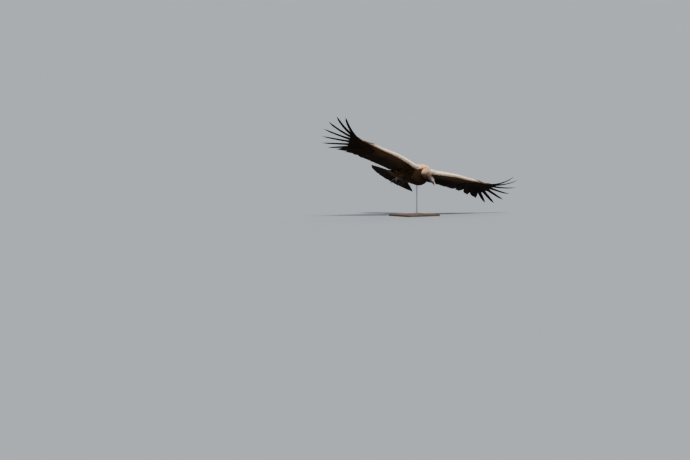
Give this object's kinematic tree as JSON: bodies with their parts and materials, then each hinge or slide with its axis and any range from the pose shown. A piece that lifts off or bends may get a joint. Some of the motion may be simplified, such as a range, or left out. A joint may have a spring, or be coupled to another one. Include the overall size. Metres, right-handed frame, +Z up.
{
  "type": "condor model",
  "caption": "Life-size young Andean condor gliding in a left bank with spread finger feathers, fanned tail and downy collar, held on a flat display base by one upright rod.",
  "frame": {"origin": "centre of the underside of the display base, which rests on the floor", "axes": "+Z up, +X to the bird's left and along the span, -Y is the way the bird heads. The bird is banked 18 degrees to its left and pitched 12 degrees nose up over a level base"},
  "size_m": [2.6849, 1.1477, 1.2204],
  "materials": {
    "plumage": "soft brown contour feathers over a still core",
    "quill": "blackish brown flight and tail feathers",
    "down": "pale buff down",
    "skin": "bare dark skin, matte",
    "horn": "pale horn, satin",
    "eye": "dark brown, wet gloss",
    "scutes": "scaled grey skin",
    "claw": "dark horn, satin",
    "wood": "dark stained wood, satin",
    "steel": "brushed round bar"
  },
  "bodies": {
    "root": {"bill_lower": "horn", "bill_upper": "horn", "claw_left_1": "claw", "claw_left_2": "claw", "claw_left_3": "claw", "claw_left_4": "claw", "claw_right_1": "claw", "claw_right_2": "claw", "claw_right_3": "claw", "claw_right_4": "claw", "eye_left": "eye", "eye_right": "eye", "foot_left": "scutes", "foot_right": "scutes", "head": "skin", "leg_left": "scutes", "leg_right": "scutes", "neck": "skin", "ruff": "down", "stand_base": "wood", "stand_rod": "steel", "tail": "quill", "torso": "plumage", "wing_left_arm": "plumage", "wing_left_hand": "quill", "wing_right_arm": "plumage", "wing_right_hand": "quill"}
  },
  "joints": []
}
